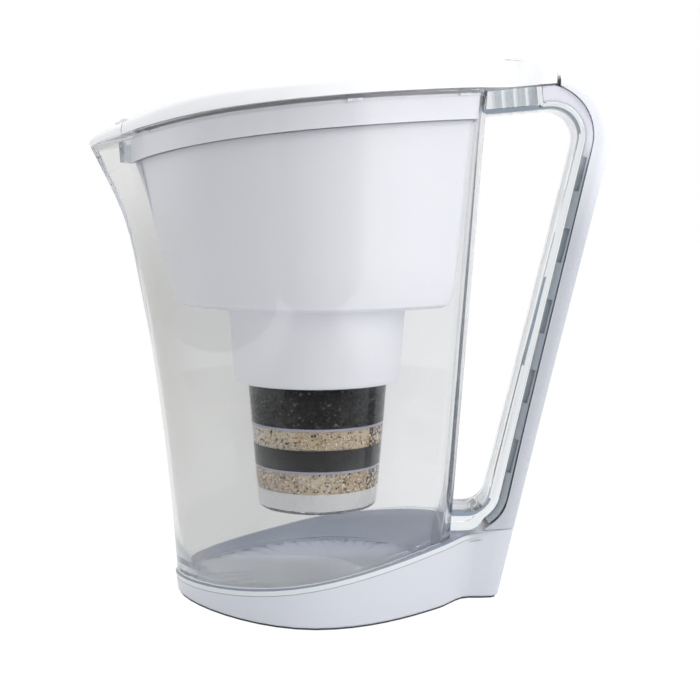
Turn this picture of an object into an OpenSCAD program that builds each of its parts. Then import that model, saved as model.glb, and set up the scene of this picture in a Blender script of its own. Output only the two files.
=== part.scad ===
// Water filter pitcher with a flip lid, in millimetres.
// X runs from the spout to the handle, Z is up, and the pitcher stands on Z = 0.

/* [Rim] */
// Height of the rim at the middle of the jug
rim_h = 244.2; // [225:0.2:262]
// Rise of the rim per millimetre towards the handle
rim_slope = 0.095; // [0.06:0.005:0.12]
// Extra drop of the rim at the tip of the spout
rim_droop = 7.4; // [3:0.2:10]
// Distance from the middle to where the extra drop starts
droop_start = 50; // [35:1:65]

/* [Jug] */
// Distance from the middle to the front of the foot
foot_front = 88; // [82:0.5:94]
// Straight forward lean of the front wall
front_lean = 10.8; // [7:0.2:14]
// Curved forward sweep of the front wall
front_sweep = 21; // [16:0.5:25]
// How far the spout juts out past the sweep
spout_reach = 8.7; // [5:0.1:12]
// Distance below the rim at which the spout starts to jut out
spout_drop = 41; // [30:1:55]
// Distance from the middle to the rear wall at the table
rear_foot = 47.2; // [42:0.2:52]
// Backward lean of the rear wall over the height of the rim
rear_lean = 18.2; // [14:0.2:22]
// Half of the width at the rim
rim_half_w = 69; // [62:0.5:76]
// How much the half width draws in towards the foot
foot_draw = 2; // [0:0.5:5]
// Half of the width of the flat rear wall
rear_flat = 19; // [17.5:0.5:22]
// Wall of the jug
jug_wall = 2.5; // [2:0.1:3]
// Height of the water floor above the table
floor_h = 7; // [6:0.1:9]
// Depth of the step inside the rim that carries the hopper
rim_step = 3; // [2.4:0.1:4]
// Width of the step inside the rim
rim_step_w = 1.1; // [0.8:0.1:1.4]
// Height of the cross wall behind the spout
guard_h = 12; // [9:0.5:16]
// Thickness of the cross wall behind the spout
guard_t = 2.4; // [1.8:0.1:3]

/* [Base] */
// Height of the base at the front
base_front_h = 10.4; // [9:0.1:13]
// Height of the base at the handle
base_rear_h = 35.3; // [30:0.1:40]
// Wall of the base
base_wall = 2.4; // [1.8:0.1:3]
// Distance from the middle to the rear end of the handle's foot
foot_rear = 74.2; // [70:0.2:80]
// Half of the width of the handle's foot
foot_half = 16.8; // [15:0.1:19]
// Height of the non-slip ring
grip_ring_h = 0.9; // [0.6:0.1:1.6]
// Width of the non-slip ring
grip_ring_w = 4; // [3:0.1:6]
// Thickness of the plate that closes the base
plate_t = 1.6; // [1.2:0.1:2]

/* [Handle] */
// Furthest reach of the handle from the middle
handle_reach = 127.6; // [123:0.1:133]
// Thickness of the handle from the grip side to the back
handle_t = 17; // [15.5:0.1:19]
// Radius of the grip hole at its upper corner
bend_r = 13; // [10:0.5:16]
// Radius of the grip hole at its lower corner
lower_r = 11; // [8:0.5:13]
// Height of the bottom of the grip hole
hole_floor_h = 44; // [41.5:0.5:50]
// Thickness of the bridge under the lid
bridge_t = 11.6; // [10:0.1:13]
// Half of the width of the grip
grip_half = 13; // [11.5:0.1:14.5]
// Half of the width of the bridge under the lid
bridge_half = 15.6; // [14.5:0.1:16.5]
// Thickness of the cover at the lower end of the grip
cover_low_t = 6.8; // [6:0.1:8]
// Thickness of the cover at the upper end of the grip
cover_high_t = 9.2; // [8:0.1:9.4]
// Thickness of the cover where it meets the lid
cover_end_t = 5.6; // [4.6:0.1:7]
// Wall of the cover
cover_wall = 2.2; // [1.6:0.1:2.8]
// Thickness of the spine between the grip and the cover
spine_t = 3.9; // [3:0.1:4.4]
// Number of windows along the spine
window_count = 5; // [3:1:7]
// Length of a window
window_l = 17; // [12:0.5:22]
// Depth of a window from the side
window_d = 2.4; // [1:0.1:4]
// Wall of the clear bridge round its pockets
bridge_wall = 2.4; // [2:0.1:3]
// Number of pockets in the bridge
pocket_count = 4; // [2:1:6]

/* [Hopper] */
// Height of the hopper's upper band
band_h = 12.2; // [10:0.1:15]
// Distance from the middle to the nose of the band
band_nose = 107.5; // [102:0.5:109]
// Distance from the rim down to the top of the band
band_drop = 1.6; // [1.2:0.1:2.2]
// Gap between the band and the wall of the jug
band_gap = 0.6; // [0.4:0.1:1]
// Wall of the hopper
hopper_wall = 2; // [1.6:0.1:2.6]
// Depth of the tub below the middle of the rim
tub_depth = 98.2; // [88:0.2:106]
// Distance from the middle to the front of the tub at its bottom
tub_front = 88; // [82:0.5:92]
// Distance between the tub and the wall of the jug at the band
tub_side_top = 4.2; // [3.6:0.1:6]
// Distance between the tub and the wall of the jug at the bottom
tub_side_low = 6.5; // [5:0.1:10]
// Rounding of the bottom edge of the tub
tub_round = 6; // [4:0.5:8]
// Distance from the middle of the jug to the axis of the filter, towards the spout
filter_axis = 16.5; // [12:0.5:20]
// Room between the filter cup and the outside of the well at its bottom
well_room = 6.2; // [5.6:0.1:8]
// How much the radius of the well grows towards the tub
well_taper = 2.9; // [1:0.1:4]
// Depth of the filter well below the tub
well_depth = 37.5; // [34:0.5:41]
// Length of a lug on the rim of the hopper
lug_l = 7; // [5:0.5:10]

/* [Cartridge] */
// Radius of the filter cup where it leaves the well
cup_top_r = 34.7; // [33.5:0.1:35.6]
// Radius of the filter cup at its bottom
cup_low_r = 30; // [28:0.1:32]
// Length of the cup below the well
cup_l = 63.5; // [58:0.5:70]
// Wall of the cup
cup_wall = 2; // [1.6:0.1:2.4]
// Height of the cup inside the well
cup_neck_h = 8; // [6:0.2:10]
// Width of the flange that carries the cup
flange_w = 2.7; // [2:0.1:3]
// Thickness of the flange
flange_t = 2; // [1.6:0.1:3]
// Height of the cap above the cup
cap_h = 12; // [9:0.5:15]
// Number of slots in the cap
cap_slots = 16; // [10:1:20]
// Depth of the fine pad at the bottom of the cup
pad_h = 8.5; // [6:0.5:11]
// Depth of the lower mineral layer
mineral_low_h = 10.3; // [8:0.5:13]
// Depth of the upper mineral layer
mineral_high_h = 9.5; // [7:0.5:12]
// Depth of the fine carbon layer
fine_h = 10.5; // [8:0.5:13]
// Thickness of a separator disc
disc_t = 1.2; // [0.8:0.1:1.6]
// Thickness of the pad under the cap
top_pad_h = 3; // [2:0.2:4]
// Number of outlet slots in the floor of the cup
outlet_slots = 12; // [8:1:16]

/* [Lid] */
// Gap between the rim and the lid
lid_gap = 0.4; // [0.2:0.05:0.5]
// Overhang of the lid past the jug
lid_over = 0.4; // [0.2:0.1:0.8]
// Wall of the lid
lid_wall = 2.2; // [1.8:0.1:2.6]
// Height of the lid's straight edge at the spout
edge_front_h = 1.4; // [1:0.1:2.4]
// Height of the lid's straight edge at the handle
edge_rear_h = 5; // [4:0.1:7]
// Height of the dome above the edge at the front
dome_front_h = 11.4; // [9:0.1:14]
// Height of the dome above the edge at the rear
dome_rear_h = 13.4; // [11:0.1:16]
// Distance from the back of the handle to the rear end of the lid
lid_back = 26.8; // [24:0.2:29]
// Half of the width of the lid's tongue over the handle
tongue_half = 16.4; // [15.6:0.1:18]
// Depth of the rim under the lid that locates it in the hopper
lid_rib_drop = 4.5; // [3.5:0.1:7]
// Distance from the middle to the seam of the spout flap
spout_seam = 110; // [107:0.5:113]
// Distance from the middle to the hinge of the filling flap
fill_hinge = 46; // [40:0.5:50]
// Distance from the middle to the rear edge of the filling flap
fill_rear = 34; // [30:0.5:38]
// Half of the width of the filling flap
fill_half_w = 33; // [28:0.5:38]
// Rounding of the filling flap's corners
fill_round = 16; // [10:0.5:20]
// Depth of the finger notch behind the filling flap
notch_depth = 6; // [4:0.1:8]
// Length of the finger notch past the flap
notch_l = 15; // [11:0.5:18]
// Width of the finger notch
notch_w = 40; // [28:0.5:46]

/* [Hinges] */
// Radius of the hinge pins
pin_r = 1.25; // [1:0.05:1.4]
// Radius of the hinge knuckles
knuckle_r = 3; // [2.6:0.1:3.2]
// Radial clearance of a pin in a knuckle
pin_fit = 0.06; // [0.03:0.01:0.1]
// Gap between parts that turn past each other
turn_gap = 0.5; // [0.35:0.05:0.7]
// Half of the length of the filling flap's knuckle
fill_knuckle = 12; // [10:0.5:14]
// Half of the length of the spout flap's knuckle
spout_knuckle = 4.5; // [4:0.1:4.8]
// Width of the lugs that hold the pins
lug_w = 3; // [2.4:0.1:3.2]

/* [Hidden] */

// Steps along each stretch of an outline: nose, flank, waist and rear end
nose_steps = 11;
flank_steps = 9;
waist_steps = 5;
end_steps = 4;
seat_gap = 0.3;
snug = 0.05;
eps = 0.01;
foot_half_w = rim_half_w - foot_draw;
well_low_r = cup_top_r + well_room;
well_top_r = well_low_r + well_taper;
flange_r = cup_top_r + flange_w;
lid_rear = handle_reach - lid_back;

function mix(a, b, t) = a + (b - a) * t;
function ease(t) = let (c = min(1, max(0, t))) c * c * (3 - 2 * c);
function cubic(c, t) =
    c[0] * pow(1 - t, 3) + c[1] * 3 * t * pow(1 - t, 2) + c[2] * 3 * t * t * (1 - t) + c[3] * pow(t, 3);

// Height of the rim and of the base's upper edge over X
function rim_z(x) =
    rim_h + rim_slope * x
    - rim_droop * pow(max(0, -droop_start - x) / (tip_x - droop_start), 2);
function base_z(x) = mix(base_front_h, base_rear_h, ease((x + base_run_front) / (base_run_front + base_run_rear)));
base_run_front = foot_front + 22;
base_run_rear = foot_rear + 16;
tip_x = foot_front + front_lean + front_sweep + spout_reach;
rear_slope = rear_lean / rim_h;
function rear_wall_x(z) = rear_foot + rear_slope * z;

// Half outlines, from the tip of the nose round to the rear, as runs of cubic curves
function run(curves, steps) =
    concat(
        [curves[0][0]],
        [for (k = [0:len(curves) - 1]) each [for (i = [1:steps[k]]) cubic(curves[k], i / steps[k])]]
    );
function closed(half) = concat(half, [for (i = [len(half) - 1:-1:1]) [half[i].x, -half[i].y]]);
function unit(v) = v / max(norm(v), eps);
function right_of(v) = [v.y, -v.x];
// Moves an outline inwards by a distance, with mitred corners
function inset(ring, d) =
    let (n = len(ring))
    [for (i = [0:n - 1])
        let (
            a = right_of(unit(ring[i] - ring[(i + n - 1) % n])),
            b = right_of(unit(ring[(i + 1) % n] - ring[i])),
            m = unit(a + b)
        )
        ring[i] + m * d / max(0.5, m * a)];
function raise(ring, level) = [for (p = ring) [p.x, p.y, level(p.x)]];

// Nose of the jug: round at the foot, drawn out to a lip at the rim
function nose_curve(tip, wide, half_w, lip) =
    let (l = wide + tip)
    [
        [-tip, 0],
        [-tip + mix(0, 0.1, lip) * l, mix(0.3, 0.145, lip) * half_w],
        [wide - mix(0.465, 0.37, lip) * l, half_w],
        [wide, half_w]
    ];
rear_corner = 5;
rear_corner_w = 12;
wide_low = -16;
wide_high = -20;

// Outline of the jug's outside at a level, which is a function that gives Z for an X
function jug_plan(level) =
    let (
        mid_front = -(foot_front + tip_x) / 2,
        f = level(mid_front) / rim_z(mid_front),
        from_spout = 1 - spout_drop / rim_z(mid_front),
        jut = max(0, (f - from_spout) / (1 - from_spout)),
        tip = foot_front + front_lean * f + front_sweep * f * f + spout_reach * jut,
        x1 = rear_wall_x(level(rear_foot)),
        x2 = rear_wall_x(level(x1)),
        rear = rear_wall_x(level(x2)),
        half_w = mix(foot_half_w, rim_half_w, f),
        wide = mix(wide_low, wide_high, f),
        corner = [rear - rear_corner, rear_flat + rear_corner_w],
        l = corner.x - wide
    )
    closed(run(
        [
            nose_curve(tip, wide, half_w, ease((f - 0.4) / 0.6)),
            [[wide, half_w], [wide + 0.444 * l, half_w], corner + [-0.2 * l, 0.155 * half_w], corner],
            [corner, corner + [3, -2.35], [rear, rear_flat + 5.2], [rear, rear_flat]]
        ],
        [nose_steps, flank_steps, waist_steps + end_steps]
    ));
function jug_ring(level, d) = raise(inset(jug_plan(level), d), level);
// Level that divides the wall between the base and the rim
function wall_level(v) = function (x) mix(base_z(x) + seat_gap, rim_z(x), v);
function flat_level(z) = function (x) z;
function rim_level(dz) = function (x) rim_z(x) + dz;
function base_level(dz) = function (x) base_z(x) + dz;

// Closed solids from rings with equal numbers of points
function bands(count, n, wrap) =
    [for (k = [0:count - (wrap ? 1 : 2)])
        for (i = [0:n - 1])
            let (
                a = k * n + i,
                b = k * n + (i + 1) % n,
                c = ((k + 1) % count) * n + (i + 1) % n,
                d = ((k + 1) % count) * n + i
            )
            each [[a, b, c], [a, c, d]]];
function middle(ring) = let (n = len(ring)) [for (k = [0:2]) [for (p = ring) p[k]] * [for (i = [1:n]) 1 / n]];
// The ends are closed by fans round their middles, or by triangles given as point numbers
module capped(rings, ends = []) {
    n = len(rings[0]);
    count = len(rings);
    points = [for (r = rings) each r];
    top = (count - 1) * n;
    low = count * n;
    fans = len(ends) == 0;
    faces = concat(
        bands(count, n, false),
        fans ? [for (i = [0:n - 1]) [low, (i + 1) % n, i]] : [for (t = ends) [t[2], t[1], t[0]]],
        fans
            ? [for (i = [0:n - 1]) [low + 1, top + i, top + (i + 1) % n]]
            : [for (t = ends) [top + t[0], top + t[1], top + t[2]]]
    );
    polyhedron(fans ? concat(points, [middle(rings[0]), middle(rings[count - 1])]) : points, faces);
}
module looped(rings) {
    polyhedron([for (r = rings) each r], bands(len(rings), len(rings[0]), true));
}

// Jug
base_fit = base_wall + seat_gap;
foot_wall = base_fit + jug_wall;
jug_bottom = plate_t + grip_ring_h;
wall_steps = [0.06, 0.2, 0.36, 0.52, 0.68, 0.8, 0.86, 0.93];
floor_fillet = 6;
foot_chamfer = 2;
module jug_body() {
    color([0.9, 0.93, 0.93, 0.35])
    capped(concat(
        [
            jug_ring(flat_level(jug_bottom), base_fit + foot_chamfer),
            jug_ring(flat_level(jug_bottom + foot_chamfer), base_fit),
            jug_ring(base_level(seat_gap), base_fit),
            jug_ring(base_level(seat_gap), 0)
        ],
        [for (v = wall_steps) jug_ring(wall_level(v), 0)],
        [
            jug_ring(rim_level(-0.5), 0),
            jug_ring(rim_level(0), 0.4),
            jug_ring(rim_level(0), jug_wall - rim_step_w),
            jug_ring(rim_level(-rim_step), jug_wall - rim_step_w),
            jug_ring(rim_level(-rim_step), jug_wall)
        ],
        [for (i = [len(wall_steps) - 1:-1:0]) jug_ring(wall_level(wall_steps[i]), jug_wall)],
        [
            jug_ring(base_level(2), foot_wall),
            jug_ring(flat_level(floor_h + 1.5), foot_wall + 1),
            jug_ring(flat_level(floor_h), foot_wall + floor_fillet)
        ]
    ));
}

// Cross wall between the spout and the hopper, trimmed to the inside of the jug
guard_gap = 1.4;
guard_top = 1;
guard_fit = 0.2;
module spout_guard() {
    back = -band_nose - guard_gap;
    low = rim_z(back) - guard_top - guard_h;
    color([0.85, 0.89, 0.9, 0.5])
    intersection() {
        translate([back - guard_t, -rim_half_w, low]) cube([guard_t, 2 * rim_half_w, guard_h]);
        capped([
            for (v = [0.68, 0.8, 0.86, 0.93]) jug_ring(wall_level(v), jug_wall + guard_fit),
            jug_ring(rim_level(-rim_step - snug), jug_wall + guard_fit)
        ]);
    }
}

// Centre line geometry of the handle, in the XZ plane
bend_out = bend_r + handle_t;
bend = [handle_reach - bend_out, rim_z(handle_reach - bend_out) - bridge_t - bend_r];
to_bend = bend - [foot_rear, 0];
lean = atan2(to_bend.y, to_bend.x) - asin(bend_out / norm(to_bend));
lean_l = sqrt(to_bend * to_bend - bend_out * bend_out);
bridge_tilt = atan(rim_slope);
low_z = hole_floor_h + lower_r;
low_out = lower_r + handle_t;
low_s = (low_z - cos(lean) * low_out) / sin(lean);
low_corner = [foot_rear + cos(lean) * low_s - sin(lean) * low_out, low_z];

// A frame is the point on the outer line, then the direction towards the grip hole
function lean_frame(s) = [foot_rear + cos(lean) * s, sin(lean) * s, -sin(lean), cos(lean)];
function round_frame(c, r, a) = [c.x + r * cos(a), c.y + r * sin(a), -cos(a), -sin(a)];
function bend_frame(a) = round_frame(bend, bend_out, a);
function low_frame(a) = round_frame(low_corner, low_out, a);
function bridge_frame(e) =
    let (f = bend_frame(90 + bridge_tilt))
    [f[0] - e * cos(bridge_tilt), f[1] - e * sin(bridge_tilt), f[2], f[3]];
function floor_frame(e) = let (f = low_frame(-90)) [f[0] - e, f[1], 0, 1];
function swept(f, section) = [for (p = section) [f[0] + f[2] * p[0], p[1], f[1] + f[3] * p[0]]];
function onto_wall(ring) = [for (p = ring) [rear_wall_x(p.z) + snug, p.y, p.z]];

// Half width of the handle at a height
function handle_half(z) =
    z < bend.y
    ? mix(foot_half, grip_half, ease(z / 110))
    : mix(grip_half, bridge_half, ease((z - bend.y) / bend_out));
function cover_lean_t(s) = mix(cover_low_t, cover_high_t, s / lean_l);
bend_start = lean - 90;
function cover_bend_t(a) =
    mix(cover_high_t, cover_end_t, pow(min(1, max(0, (a - bend_start) / (84 - bend_start))), 2.5));

// Section of a bar with rounded edges, between two depths from the outer line
bar_round = 1.2;
function corner(c, r, from) = [for (a = [from, from + 45, from + 90]) c + r * [cos(a), sin(a)]];
function bar(d0, d1, w, r) =
    concat(
        corner([d1 - r, w - r], r, 0), corner([d0 + r, w - r], r, 90),
        corner([d0 + r, -w + r], r, 180), corner([d1 - r, -w + r], r, 270)
    );
lean_steps = 8;
bend_steps = 12;
low_steps = 6;
frame_inset = 0.2;
spine_inset = 0.5;
spine_low_end = -58;
spine_top_run = 2.6;
bridge_d = handle_t - bridge_t + 0.2;
function lean_stops() = [for (i = [0:lean_steps]) mix(low_s, lean_l, i / lean_steps)];
function bend_stops() = [for (i = [1:bend_steps]) mix(bend_start, 90 + bridge_tilt, i / bend_steps)];
function low_stops(from) = [for (i = [0:low_steps - 1]) mix(from, bend_start, i / low_steps)];
function strip(f, d0, d1, less) = swept(f, bar(d0, d1, handle_half(f[1] + f[3] * d1) - less, bar_round));
clear_bend_d = cover_high_t + spine_t + snug;
bridge_l = bridge_frame(0)[0] - rear_wall_x(bend.y + bend_r);

module handle_frame() {
    floor_l = floor_frame(0)[0] - rear_wall_x(low_z - low_out);
    low_t = hole_floor_h - base_z(low_corner.x) - seat_gap;
    low_d = handle_t - low_t;
    color([0.9, 0.93, 0.94, 0.4])
    difference() {
        capped(concat(
            [
                onto_wall(strip(floor_frame(floor_l), handle_t - low_t, handle_t, frame_inset)),
                strip(floor_frame(floor_l / 2), low_d, handle_t, frame_inset),
                strip(low_frame(-88), low_d, handle_t, frame_inset),
                strip(low_frame(-78), low_d + 0.6, handle_t, frame_inset),
                strip(low_frame(-66), cover_low_t + spine_t + snug - 0.8, handle_t, frame_inset)
            ],
            [for (a = low_stops(spine_low_end - 2))
                strip(low_frame(a), cover_lean_t(low_s) + spine_t + snug, handle_t, frame_inset)],
            [for (s = lean_stops())
                strip(lean_frame(s), cover_lean_t(s) + spine_t + snug, handle_t, frame_inset)],
            [for (a = bend_stops()) strip(bend_frame(a), clear_bend_d, handle_t, frame_inset)],
            [
                strip(bridge_frame(spine_top_run + 0.2), clear_bend_d, handle_t, frame_inset),
                strip(bridge_frame(spine_top_run + 0.4), bridge_d, handle_t, frame_inset),
                strip(bridge_frame(bridge_l / 2), bridge_d, handle_t, frame_inset),
                onto_wall(strip(bridge_frame(bridge_l), bridge_d, handle_t, frame_inset))
            ]
        ));
        pocket_from = spine_top_run + 0.4 + bridge_wall;
        pocket_run = bridge_l - pocket_from - bridge_wall;
        pitch = (pocket_run + bridge_wall / 2) / pocket_count;
        f = bridge_frame(0);
        translate([f[0], 0, f[1]])
        rotate([0, -bridge_tilt, 0])
        for (i = [0:pocket_count - 1])
            translate([
                -pocket_from - i * pitch - (pitch - bridge_wall / 2),
                -bridge_half + frame_inset + bridge_wall,
                -handle_t + bridge_wall
            ])
            cube([pitch - bridge_wall / 2, 2 * (bridge_half - frame_inset - bridge_wall), handle_t]);
    }
}

module handle_spine() {
    pitch = (lean_l - low_s) / window_count;
    color([0.55, 0.59, 0.62])
    difference() {
        capped(concat(
            [for (a = low_stops(spine_low_end))
                strip(low_frame(a), cover_lean_t(low_s) + snug, cover_lean_t(low_s) + spine_t, spine_inset)],
            [for (s = lean_stops()) strip(lean_frame(s), cover_lean_t(s) + snug, cover_lean_t(s) + spine_t, spine_inset)],
            [for (a = bend_stops()) strip(bend_frame(a), cover_bend_t(a) + snug, cover_high_t + spine_t, spine_inset)],
            [strip(bridge_frame(spine_top_run), cover_end_t + snug, cover_high_t + spine_t, spine_inset)]
        ));
        for (i = [0:window_count - 1])
            let (s = low_s + pitch * (i + 0.6), f = lean_frame(s))
            for (side = [-1, 1])
                translate([f[0], side * (handle_half(f[1]) - spine_inset), f[1]])
                rotate([0, 90 - lean, 0])
                translate([-cover_lean_t(s) - spine_t - 1, -window_d, -window_l / 2])
                cube([spine_t * 0.62 + 1, 2 * window_d, window_l]);
    }
}

// Section of the cover: a rounded back and two sides round a hollow
cover_round = 5;
function channel(d, w) =
    let (r = min(cover_round, d - 1), i = w - cover_wall)
    concat(
        [[d, w]],
        [for (a = [0:30:90]) [r - r * sin(a), w - r + r * cos(a)]],
        [for (a = [90:-30:0]) [r - r * sin(a), -w + r - r * cos(a)]],
        [[d, -w], [d, -i], [cover_wall, -i], [cover_wall, i], [d, i]]
    );
channel_ends = [
    [0, 12, 13], [0, 1, 12], [1, 2, 12], [2, 3, 12], [3, 4, 12], [4, 5, 12],
    [5, 11, 12], [5, 6, 11], [6, 7, 11], [7, 8, 11], [8, 9, 11], [9, 10, 11]
];
cover_toe = 16;
cover_low_stops = [1.6, 3.6, 6, 9, 13];
module handle_cover() {
    foot_z = base_z(foot_rear) + seat_gap;
    reach = low_out - cover_low_t + snug;
    end_x = lid_rear + lid_gap + 0.3;
    foot_x = foot_rear + foot_z / tan(lean);
    function level_ring(z) =
        let (
            x = foot_rear + z / tan(lean),
            dz = low_corner.y - z,
            d = min(cover_toe, x - low_corner.x - sqrt(max(0, reach * reach - dz * dz)))
        )
        [for (p = channel(d, handle_half(z))) [x - p[0], p[1], z]];
    color([0.87, 0.89, 0.94])
    capped(concat(
        [[for (p = level_ring(foot_z)) [p.x, p.y, base_z(p.x) + seat_gap]]],
        [for (h = cover_low_stops) level_ring(foot_z + h)],
        [for (s = lean_stops())
            if (s > low_s + 5) swept(lean_frame(s), channel(cover_lean_t(s), handle_half(lean_frame(s)[1])))],
        [for (a = bend_stops())
            if (a < 78) swept(bend_frame(a), channel(cover_bend_t(a), handle_half(bend_frame(a)[1])))],
        [[for (p = channel(cover_end_t, handle_half(bend.y + bend_out)))
            [end_x, p[1], bend.y + sqrt(pow(bend_out - p[0], 2) - pow(end_x - bend.x, 2))]]]
    ), channel_ends);
}

// Outline that runs into a tongue at the rear, as the base and the lid have
function tongue_plan(tip, wide, half_w, lip, waist, rear, half) =
    let (l = waist.x - wide, r = min(half - 1, 6), b = [mix(waist.x, rear, 0.5), half])
    closed(run(
        [
            nose_curve(tip, wide, half_w, lip),
            [[wide, half_w], [wide + 0.46 * l, half_w], waist + [-9.5, 9], waist],
            [waist, waist + [0.3, -0.28] * (b.x - waist.x), b - [0.35 * (b.x - waist.x), 0], b],
            [b, [mix(b.x, rear, 0.75), half], [rear, half], [rear, half - r]]
        ],
        [nose_steps, flank_steps, waist_steps, end_steps]
    ));
function base_plan(level) =
    let (
        z = level(0),
        f = z / rim_h,
        rear = foot_rear + level(foot_rear) / tan(lean)
    )
    tongue_plan(
        foot_front + front_lean * f + front_sweep * f * f,
        mix(wide_low, wide_high, f), mix(foot_half_w, rim_half_w, f), 0,
        [rear_wall_x(z) - 3, rear_flat + rear_corner_w + base_wall], rear, handle_half(level(foot_rear))
    );
function base_ring(level, d) = raise(inset(base_plan(level), d), level);

foot_roof = 4;
module base_shell() {
    inner = base_wall - 0.2;
    ledge = grip_ring_h + plate_t;
    color([0.84, 0.86, 0.9])
    looped([
        base_ring(flat_level(grip_ring_h), 0.8),
        base_ring(flat_level(grip_ring_h + 0.9), 0),
        base_ring(function (x) mix(grip_ring_h, base_z(x), 0.5), 0),
        base_ring(base_level(-0.5), 0),
        base_ring(base_level(0), 0.4),
        jug_ring(base_level(0), base_wall),
        jug_ring(base_level(-foot_roof), base_wall),
        base_ring(base_level(-foot_roof - 0.2), base_wall),
        base_ring(flat_level(ledge), inner),
        base_ring(flat_level(grip_ring_h), inner)
    ]);
}
module base_plate() {
    color([0.7, 0.72, 0.76])
    capped([
        base_ring(flat_level(grip_ring_h), base_wall + seat_gap),
        base_ring(flat_level(grip_ring_h + plate_t), base_wall + seat_gap)
    ]);
}
module non_slip_ring() {
    color([0.25, 0.26, 0.28])
    looped([
        base_ring(flat_level(0), 1),
        base_ring(flat_level(grip_ring_h), 1),
        base_ring(flat_level(grip_ring_h), 1 + grip_ring_w),
        base_ring(flat_level(0), 1 + grip_ring_w)
    ]);
}

// Hopper
tub_z = rim_h - tub_depth;
well_z = tub_z - well_depth;
axis = [-filter_axis, 0];
cup_play = 0.5;
nose_run = 23;
// Blunts the nose of an outline so that it ends at a distance from the middle
function blunt(ring, nose) =
    let (knee = nose - nose_run, tip = -ring[0].x, l = tip - knee, a = 1 - nose_run / l)
    [for (p = ring)
        let (u = (-p.x - knee) / l)
        u > 0 ? [-knee - l * (u - a * u * u), p.y] : p];
function hopper_ring(level, side, nose, d) =
    raise(inset(blunt(inset(jug_plan(level), jug_wall + side), nose), d), level);
function circle_ring(r, z) =
    let (n = 2 * (nose_steps + flank_steps + waist_steps + end_steps) + 1)
    [for (i = [0:n - 1]) let (a = 180 - i * 360 / n) [axis.x + r * cos(a), r * sin(a), z]];
function band_ring(dz, d) = hopper_ring(rim_level(dz), band_gap, band_nose, d);
tub_nose_top = band_nose - tub_side_top + band_gap - 1;
band_low = -band_drop - band_h;
function tub_level(v) = function (x) mix(tub_z, rim_z(x) + band_low, v);
function tub_ring(v, d) =
    hopper_ring(tub_level(v), mix(tub_side_low, tub_side_top, v), mix(tub_front, tub_nose_top, v), d);
function tub_floor_ring(z, d) = hopper_ring(flat_level(z), tub_side_low, tub_front, d);
tub_steps = [0.25, 0.5, 0.75, 1];
lug_spots = [4, 13, 19];
module rim_lug(i) {
    ring = band_ring(0, 0);
    n = len(ring);
    along = unit([ring[i + 1].x - ring[i - 1].x, ring[i + 1].y - ring[i - 1].y]);
    out = -right_of(along);
    p = [ring[i].x, ring[i].y];
    reach = band_gap + rim_step_w - seat_gap;
    spots = [for (c = [[-1, -1], [-1, reach], [1, reach], [1, -1]]) p + along * c[0] * lug_l / 2 + out * c[1]];
    capped([raise(spots, rim_level(-rim_step + seat_gap)), raise(spots, rim_level(-band_drop))]);
}
module hopper() {
    hole_r = well_top_r - hopper_wall;
    color([0.9, 0.9, 0.93])
        looped(concat(
            [
                circle_ring(hole_r, tub_z),
                tub_floor_ring(tub_z, tub_round),
                tub_floor_ring(tub_z + 0.3 * tub_round, 0.3 * tub_round),
                tub_floor_ring(tub_z + tub_round, 0)
            ],
            [for (v = tub_steps) tub_ring(v, 0)],
            [for (v = [1, 0.5]) tub_ring(v, hopper_wall)],
            [
                tub_floor_ring(tub_z + tub_round, hopper_wall),
                tub_floor_ring(tub_z + hopper_wall, tub_round),
                circle_ring(hole_r, tub_z + hopper_wall)
            ]
        ));
}
module hopper_rim() {
    color([0.9, 0.9, 0.93])
    union() {
        looped([
            tub_ring(1, 0),
            band_ring(band_low, 0),
            band_ring(-band_drop, 0),
            band_ring(-band_drop, hopper_wall),
            band_ring(band_low + hopper_wall, hopper_wall),
            raise(tub_ring(1, hopper_wall), rim_level(band_low + hopper_wall)),
            tub_ring(1, hopper_wall)
        ]);
        for (i = lug_spots) rim_lug(i);
        for (i = lug_spots) mirror([0, 1, 0]) rim_lug(i);
    }
}

// Cartridge and its well, turned about the axis of the filter
seal_t = 1.5;
cup_z = well_z - cup_l;
seal_z = well_z + hopper_wall + 0.1;
flange_z = seal_z + seal_t;
neck_z = flange_z + flange_t + cup_neck_h;
fill_gap = 0.15;
cup_round = 2.5;
slot_w = 1.4;
module on_axis() { translate([axis.x, axis.y, 0]) children(); }
module turned(points) { on_axis() rotate_extrude($fn = 96) polygon(points); }
module filter_well() {
    hole_r = cup_top_r + cup_play;
    color([0.9, 0.9, 0.93])
    turned([
        [hole_r, well_z], [well_low_r - 1.8, well_z], [well_low_r - 0.5, well_z + 0.5],
        [well_low_r, well_z + 1.8], [well_top_r, tub_z], [well_top_r - hopper_wall, tub_z],
        [well_low_r - hopper_wall, well_z + hopper_wall], [hole_r, well_z + hopper_wall]
    ]);
}
module cartridge_cup() {
    color([0.86, 0.89, 0.9, 0.4])
    difference() {
        turned(concat(
            [[0, cup_z]],
            [for (a = [0:30:90]) [
                cup_low_r - cup_round + cup_round * sin(a), cup_z + cup_round - cup_round * cos(a)
            ]],
            [
                [cup_top_r, well_z], [cup_top_r, flange_z], [flange_r, flange_z],
                [flange_r, flange_z + flange_t], [cup_top_r, flange_z + flange_t], [cup_top_r, neck_z],
                [cup_top_r - cup_wall, neck_z], [cup_top_r - cup_wall, well_z],
                [cup_low_r - cup_wall, cup_z + cup_wall], [0, cup_z + cup_wall]
            ]
        ));
        on_axis()
        for (i = [0:outlet_slots - 1])
            rotate([0, 0, i * 360 / outlet_slots])
            translate([cup_low_r * 0.3, -slot_w / 2, cup_z - 1])
            cube([cup_low_r * 0.5, slot_w, cup_wall + 2]);
    }
}
cap_side = 1.8;
cap_play = 0.1;
grip_t = 3;
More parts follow.
